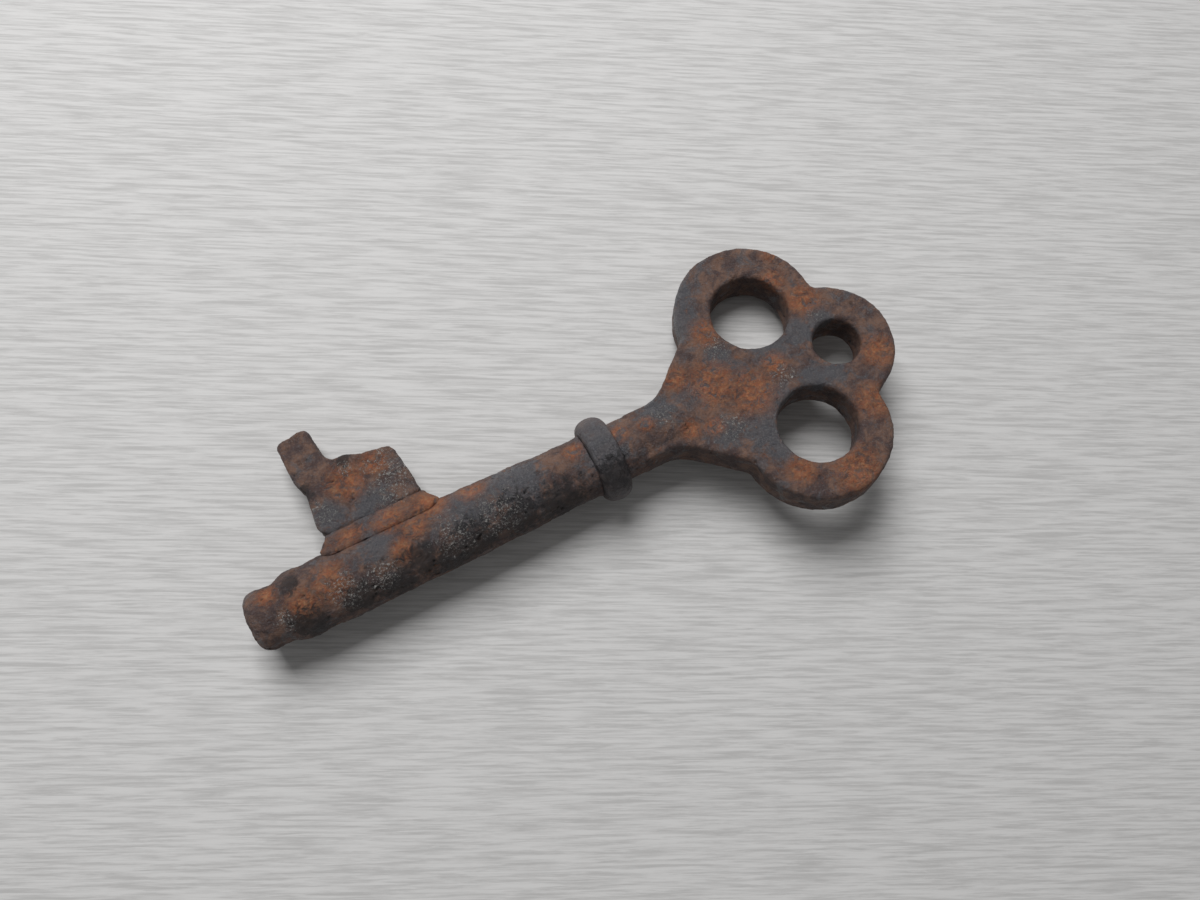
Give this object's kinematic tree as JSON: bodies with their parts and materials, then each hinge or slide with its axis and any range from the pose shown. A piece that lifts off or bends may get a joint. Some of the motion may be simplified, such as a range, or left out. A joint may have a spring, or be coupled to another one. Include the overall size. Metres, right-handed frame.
{
  "type": "skeleton key",
  "caption": "Old iron skeleton key: a flat bow of two large rings and a small end ring, a round neck, a bead collar, a round stem and a stepped bit with a tall lug.",
  "frame": {"origin": "centre of the nose's end face, on the stem's axis", "axes": "+X along the stem from the nose to the bow, +Y from the stem towards the bit, +Z out of the bow's upper flat face"},
  "size_m": [0.0688, 0.0302, 0.0088],
  "materials": {
    "rusted_iron": "rough brown rust with dark patina",
    "collar_iron": "dark, rubbed smooth",
    "braze": "dull orange, rusted over"
  },
  "bodies": {
    "root": {"bow": "rusted_iron", "collar": "collar_iron", "stem": "rusted_iron", "bit": "rusted_iron", "bit_braze": "braze"}
  },
  "joints": []
}
